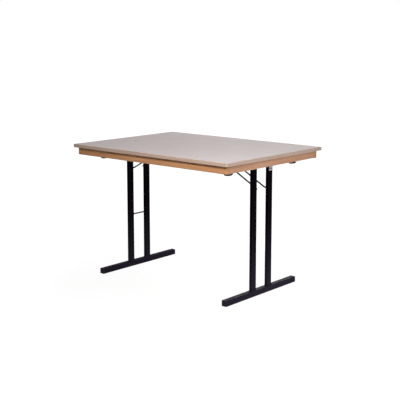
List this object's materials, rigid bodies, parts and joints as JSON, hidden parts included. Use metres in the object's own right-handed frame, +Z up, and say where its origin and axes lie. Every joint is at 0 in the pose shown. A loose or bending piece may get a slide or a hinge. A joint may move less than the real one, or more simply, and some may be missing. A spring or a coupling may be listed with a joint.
{
  "type": "folding banquet table",
  "caption": "Rectangular folding table with a laminate top, wooden edge and frame, and T-shaped steel legs that fold flat under the plate, each held open by a wire strut.",
  "frame": {"origin": "on the floor under the middle of the table", "axes": "+X along the long side, +Y along the short side towards the back, +Z up"},
  "size_m": [1.1, 0.8, 0.74],
  "materials": {
    "panel_core": "raw particle board",
    "grey_laminate": "matt laminate",
    "backing_sheet": "matt balancing sheet",
    "edge_wood": "pale lacquered",
    "beech": "lacquered beech",
    "black_plastic": "moulded satin",
    "black_steel": "satin powder coat",
    "black_wire": "satin powder coat",
    "spring_steel": "oiled spring steel",
    "zinc_steel": "bright zinc plate"
  },
  "bodies": {
    "top": {"backing_laminate": "backing_sheet", "bearing_screws": "zinc_steel", "clip_rivets": "zinc_steel", "core_panel": "panel_core", "edge_lipping_back": "edge_wood", "edge_lipping_front": "edge_wood", "edge_lipping_left": "edge_wood", "edge_lipping_right": "edge_wood", "frame_corner_blocks": "beech", "frame_dowels": "beech", "frame_rail_back": "beech", "frame_rail_front": "beech", "frame_rail_left": "beech", "frame_rail_right": "beech", "hanger_screws": "zinc_steel", "left_back_bearing": "black_plastic", "left_front_bearing": "black_plastic", "left_strut_clip": "spring_steel", "left_strut_hanger": "zinc_steel", "right_back_bearing": "black_plastic", "right_front_bearing": "black_plastic", "right_strut_clip": "spring_steel", "right_strut_hanger": "zinc_steel", "top_laminate": "grey_laminate"},
    "left_leg": {"left_cross_rod": "black_wire", "left_foot_cap_back": "black_plastic", "left_foot_cap_front": "black_plastic", "left_foot_glides": "black_plastic", "left_foot_tube": "black_steel", "left_pivot_tube": "black_steel", "left_post_back": "black_steel", "left_post_front": "black_steel", "left_stop_plate": "zinc_steel", "left_stop_screws": "zinc_steel"},
    "right_leg": {"right_foot_cap_back": "black_plastic", "right_foot_cap_front": "black_plastic", "right_foot_glides": "black_plastic", "right_foot_tube": "black_steel", "right_pivot_tube": "black_steel", "right_post_back": "black_steel", "right_post_front": "black_steel", "right_stop_plate": "zinc_steel", "right_stop_screws": "zinc_steel"},
    "left_strut": {"left_strut_bail": "black_wire"},
    "right_strut": {"right_strut_bail": "black_wire"}
  },
  "joints": [
    {"name": "left_leg_fold", "type": "hinge", "parent": "top", "child": "left_leg", "pos_m": [-0.447, 0, 0.676], "axis": [0, -1, 0], "range_deg": [0, 90]},
    {"name": "right_leg_fold", "type": "hinge", "parent": "top", "child": "right_leg", "pos_m": [0.447, 0, 0.702], "axis": [0, 1, 0], "range_deg": [0, 90]},
    {"name": "left_strut_fold", "type": "hinge", "parent": "left_leg", "child": "left_strut", "pos_m": [-0.447, 0, 0.576], "axis": [0, 1, 0], "range_deg": [0, 118.7]},
    {"name": "right_strut_fold", "type": "hinge", "parent": "right_leg", "child": "right_strut", "pos_m": [0.447, 0, 0.556], "axis": [0, -1, 0], "range_deg": [0, 118.7]}
  ],
  "couplings": [
    {"joint": "left_strut_fold", "follows": "left_leg_fold", "ratio": 1.3178},
    {"joint": "right_strut_fold", "follows": "right_leg_fold", "ratio": 1.3178}
  ]
}
